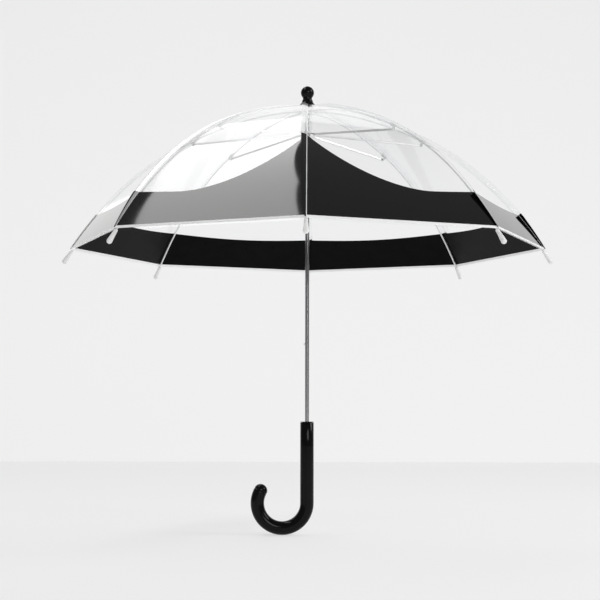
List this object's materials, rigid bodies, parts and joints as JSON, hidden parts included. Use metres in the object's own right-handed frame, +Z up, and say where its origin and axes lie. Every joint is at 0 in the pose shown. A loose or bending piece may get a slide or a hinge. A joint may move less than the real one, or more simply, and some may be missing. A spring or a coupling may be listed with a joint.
{
  "type": "clear bubble umbrella",
  "caption": "Open dome umbrella in clear film with a black printed border, ribs that fold on a sliding runner, a steel shaft and a black crook handle.",
  "frame": {"origin": "on the shaft's axis at the height of the crook's lowest point, which is the bottom centre of the bounding box", "axes": "+Z up along the shaft to the finial; the crook bends towards -X; -Y is the front, where the printed band peaks"},
  "size_m": [0.7448, 0.7448, 0.68],
  "materials": {
    "steel": "plated steel tube and flat stretcher bars, satin bright",
    "wire": "bare steel tying wire",
    "black_plastic": "moulded high-gloss black plastic",
    "white_plastic": "moulded white plastic",
    "clear_plastic": "clear moulded washer",
    "fibreglass": "pale fibreglass rod, slightly translucent",
    "clear_film": "clear flexible vinyl film with a black printed band along its rim",
    "printed_film": "clear flexible vinyl film with a black printed band that rises to a peak at the front rib"
  },
  "bodies": {
    "root": {"shaft_tube": "steel", "handle_crook": "black_plastic", "handle_bush": "black_plastic", "handle_end_cap": "black_plastic", "finial": "black_plastic", "crown_washer": "clear_plastic", "top_notch": "white_plastic", "notch_wire": "wire"},
    "runner": {"runner": "white_plastic", "runner_wire": "wire"},
    "top_catch": {"top_catch": "steel"},
    "bottom_catch": {"bottom_catch": "steel"},
    "rib_1": {"rib_inner_1": "fibreglass", "rib_clip_1": "white_plastic"},
    "rib_end_1": {"rib_outer_1": "fibreglass", "rib_tip_1": "white_plastic", "canopy_gore_1": "printed_film"},
    "stretcher_1": {"stretcher_1": "steel"},
    "rib_2": {"rib_inner_2": "fibreglass", "rib_clip_2": "white_plastic"},
    "rib_end_2": {"rib_outer_2": "fibreglass", "rib_tip_2": "white_plastic", "canopy_gore_2": "clear_film"},
    "stretcher_2": {"stretcher_2": "steel"},
    "rib_3": {"rib_inner_3": "fibreglass", "rib_clip_3": "white_plastic"},
    "rib_end_3": {"rib_outer_3": "fibreglass", "rib_tip_3": "white_plastic", "canopy_gore_3": "clear_film"},
    "stretcher_3": {"stretcher_3": "steel"},
    "rib_4": {"rib_inner_4": "fibreglass", "rib_clip_4": "white_plastic"},
    "rib_end_4": {"rib_outer_4": "fibreglass", "rib_tip_4": "white_plastic", "canopy_gore_4": "clear_film"},
    "stretcher_4": {"stretcher_4": "steel"},
    "rib_5": {"rib_inner_5": "fibreglass", "rib_clip_5": "white_plastic"},
    "rib_end_5": {"rib_outer_5": "fibreglass", "rib_tip_5": "white_plastic", "canopy_gore_5": "clear_film"},
    "stretcher_5": {"stretcher_5": "steel"},
    "rib_6": {"rib_inner_6": "fibreglass", "rib_clip_6": "white_plastic"},
    "rib_end_6": {"rib_outer_6": "fibreglass", "rib_tip_6": "white_plastic", "canopy_gore_6": "clear_film"},
    "stretcher_6": {"stretcher_6": "steel"},
    "rib_7": {"rib_inner_7": "fibreglass", "rib_clip_7": "white_plastic"},
    "rib_end_7": {"rib_outer_7": "fibreglass", "rib_tip_7": "white_plastic", "canopy_gore_7": "clear_film"},
    "stretcher_7": {"stretcher_7": "steel"},
    "rib_8": {"rib_inner_8": "fibreglass", "rib_clip_8": "white_plastic"},
    "rib_end_8": {"rib_outer_8": "fibreglass", "rib_tip_8": "white_plastic", "canopy_gore_8": "printed_film"},
    "stretcher_8": {"stretcher_8": "steel"}
  },
  "joints": [
    {"name": "runner_slide", "type": "slide", "parent": "root", "child": "runner", "axis": [0, 0, -1], "range_m": [0, 0.3012], "deforming": ["canopy_gore_1", "canopy_gore_2", "canopy_gore_3", "canopy_gore_4", "canopy_gore_5", "canopy_gore_6", "canopy_gore_7", "canopy_gore_8", "top_catch", "bottom_catch"]},
    {"name": "top_catch_press", "type": "slide", "parent": "root", "child": "top_catch", "axis": [1, 0, 0], "range_m": [0, 0.0022], "stiffness_N_per_m": 600},
    {"name": "bottom_catch_press", "type": "slide", "parent": "root", "child": "bottom_catch", "axis": [1, 0, 0], "range_m": [0, 0.0022], "stiffness_N_per_m": 600},
    {"name": "rib_hinge_1", "type": "hinge", "parent": "root", "child": "rib_1", "pos_m": [0, -0.007, 0.64], "axis": [1, 0, 0], "range_deg": [0, 65.2]},
    {"name": "rib_flex_1", "type": "hinge", "parent": "rib_1", "child": "rib_end_1", "pos_m": [0, -0.1805, 0.59156], "axis": [-1, 0, 0], "range_deg": [0, 24.6]},
    {"name": "stretcher_hinge_1", "type": "hinge", "parent": "runner", "child": "stretcher_1", "pos_m": [0, -0.0095, 0.605], "axis": [-1, 0, 0], "range_deg": [0, 88.2]},
    {"name": "rib_hinge_2", "type": "hinge", "parent": "root", "child": "rib_2", "pos_m": [0.00495, -0.00495, 0.64], "axis": [0.7071, 0.7071, 0], "range_deg": [0, 65.2]},
    {"name": "rib_flex_2", "type": "hinge", "parent": "rib_2", "child": "rib_end_2", "pos_m": [0.12763, -0.12763, 0.59156], "axis": [-0.7071, -0.7071, 0], "range_deg": [0, 24.6]},
    {"name": "stretcher_hinge_2", "type": "hinge", "parent": "runner", "child": "stretcher_2", "pos_m": [0.00672, -0.00672, 0.605], "axis": [-0.7071, -0.7071, 0], "range_deg": [0, 88.2]},
    {"name": "rib_hinge_3", "type": "hinge", "parent": "root", "child": "rib_3", "pos_m": [0.007, 0, 0.64], "axis": [0, 1, 0], "range_deg": [0, 65.2]},
    {"name": "rib_flex_3", "type": "hinge", "parent": "rib_3", "child": "rib_end_3", "pos_m": [0.1805, 0, 0.59156], "axis": [0, -1, 0], "range_deg": [0, 24.6]},
    {"name": "stretcher_hinge_3", "type": "hinge", "parent": "runner", "child": "stretcher_3", "pos_m": [0.0095, 0, 0.605], "axis": [0, -1, 0], "range_deg": [0, 88.2]},
    {"name": "rib_hinge_4", "type": "hinge", "parent": "root", "child": "rib_4", "pos_m": [0.00495, 0.00495, 0.64], "axis": [-0.7071, 0.7071, 0], "range_deg": [0, 65.2]},
    {"name": "rib_flex_4", "type": "hinge", "parent": "rib_4", "child": "rib_end_4", "pos_m": [0.12763, 0.12763, 0.59156], "axis": [0.7071, -0.7071, 0], "range_deg": [0, 24.6]},
    {"name": "stretcher_hinge_4", "type": "hinge", "parent": "runner", "child": "stretcher_4", "pos_m": [0.00672, 0.00672, 0.605], "axis": [0.7071, -0.7071, 0], "range_deg": [0, 88.2]},
    {"name": "rib_hinge_5", "type": "hinge", "parent": "root", "child": "rib_5", "pos_m": [0, 0.007, 0.64], "axis": [-1, 0, 0], "range_deg": [0, 65.2]},
    {"name": "rib_flex_5", "type": "hinge", "parent": "rib_5", "child": "rib_end_5", "pos_m": [0, 0.1805, 0.59156], "axis": [1, 0, 0], "range_deg": [0, 24.6]},
    {"name": "stretcher_hinge_5", "type": "hinge", "parent": "runner", "child": "stretcher_5", "pos_m": [0, 0.0095, 0.605], "axis": [1, 0, 0], "range_deg": [0, 88.2]},
    {"name": "rib_hinge_6", "type": "hinge", "parent": "root", "child": "rib_6", "pos_m": [-0.00495, 0.00495, 0.64], "axis": [-0.7071, -0.7071, 0], "range_deg": [0, 65.2]},
    {"name": "rib_flex_6", "type": "hinge", "parent": "rib_6", "child": "rib_end_6", "pos_m": [-0.12763, 0.12763, 0.59156], "axis": [0.7071, 0.7071, 0], "range_deg": [0, 24.6]},
    {"name": "stretcher_hinge_6", "type": "hinge", "parent": "runner", "child": "stretcher_6", "pos_m": [-0.00672, 0.00672, 0.605], "axis": [0.7071, 0.7071, 0], "range_deg": [0, 88.2]},
    {"name": "rib_hinge_7", "type": "hinge", "parent": "root", "child": "rib_7", "pos_m": [-0.007, 0, 0.64], "axis": [0, -1, 0], "range_deg": [0, 65.2]},
    {"name": "rib_flex_7", "type": "hinge", "parent": "rib_7", "child": "rib_end_7", "pos_m": [-0.1805, 0, 0.59156], "axis": [0, 1, 0], "range_deg": [0, 24.6]},
    {"name": "stretcher_hinge_7", "type": "hinge", "parent": "runner", "child": "stretcher_7", "pos_m": [-0.0095, 0, 0.605], "axis": [0, 1, 0], "range_deg": [0, 88.2]},
    {"name": "rib_hinge_8", "type": "hinge", "parent": "root", "child": "rib_8", "pos_m": [-0.00495, -0.00495, 0.64], "axis": [0.7071, -0.7071, 0], "range_deg": [0, 65.2]},
    {"name": "rib_flex_8", "type": "hinge", "parent": "rib_8", "child": "rib_end_8", "pos_m": [-0.12763, -0.12763, 0.59156], "axis": [-0.7071, 0.7071, 0], "range_deg": [0, 24.6]},
    {"name": "stretcher_hinge_8", "type": "hinge", "parent": "runner", "child": "stretcher_8", "pos_m": [-0.00672, -0.00672, 0.605], "axis": [-0.7071, 0.7071, 0], "range_deg": [0, 88.2]}
  ],
  "couplings": [
    {"joint": "rib_hinge_1", "follows": "runner_slide", "rad_per_m": 3.7665},
    {"joint": "rib_flex_1", "follows": "runner_slide", "rad_per_m": 1.4197},
    {"joint": "stretcher_hinge_1", "follows": "runner_slide", "rad_per_m": 5.0992},
    {"joint": "rib_hinge_2", "follows": "runner_slide", "rad_per_m": 3.7665},
    {"joint": "rib_flex_2", "follows": "runner_slide", "rad_per_m": 1.4197},
    {"joint": "stretcher_hinge_2", "follows": "runner_slide", "rad_per_m": 5.0992},
    {"joint": "rib_hinge_3", "follows": "runner_slide", "rad_per_m": 3.7665},
    {"joint": "rib_flex_3", "follows": "runner_slide", "rad_per_m": 1.4197},
    {"joint": "stretcher_hinge_3", "follows": "runner_slide", "rad_per_m": 5.0992},
    {"joint": "rib_hinge_4", "follows": "runner_slide", "rad_per_m": 3.7665},
    {"joint": "rib_flex_4", "follows": "runner_slide", "rad_per_m": 1.4197},
    {"joint": "stretcher_hinge_4", "follows": "runner_slide", "rad_per_m": 5.0992},
    {"joint": "rib_hinge_5", "follows": "runner_slide", "rad_per_m": 3.7665},
    {"joint": "rib_flex_5", "follows": "runner_slide", "rad_per_m": 1.4197},
    {"joint": "stretcher_hinge_5", "follows": "runner_slide", "rad_per_m": 5.0992},
    {"joint": "rib_hinge_6", "follows": "runner_slide", "rad_per_m": 3.7665},
    {"joint": "rib_flex_6", "follows": "runner_slide", "rad_per_m": 1.4197},
    {"joint": "stretcher_hinge_6", "follows": "runner_slide", "rad_per_m": 5.0992},
    {"joint": "rib_hinge_7", "follows": "runner_slide", "rad_per_m": 3.7665},
    {"joint": "rib_flex_7", "follows": "runner_slide", "rad_per_m": 1.4197},
    {"joint": "stretcher_hinge_7", "follows": "runner_slide", "rad_per_m": 5.0992},
    {"joint": "rib_hinge_8", "follows": "runner_slide", "rad_per_m": 3.7665},
    {"joint": "rib_flex_8", "follows": "runner_slide", "rad_per_m": 1.4197},
    {"joint": "stretcher_hinge_8", "follows": "runner_slide", "rad_per_m": 5.0992}
  ]
}
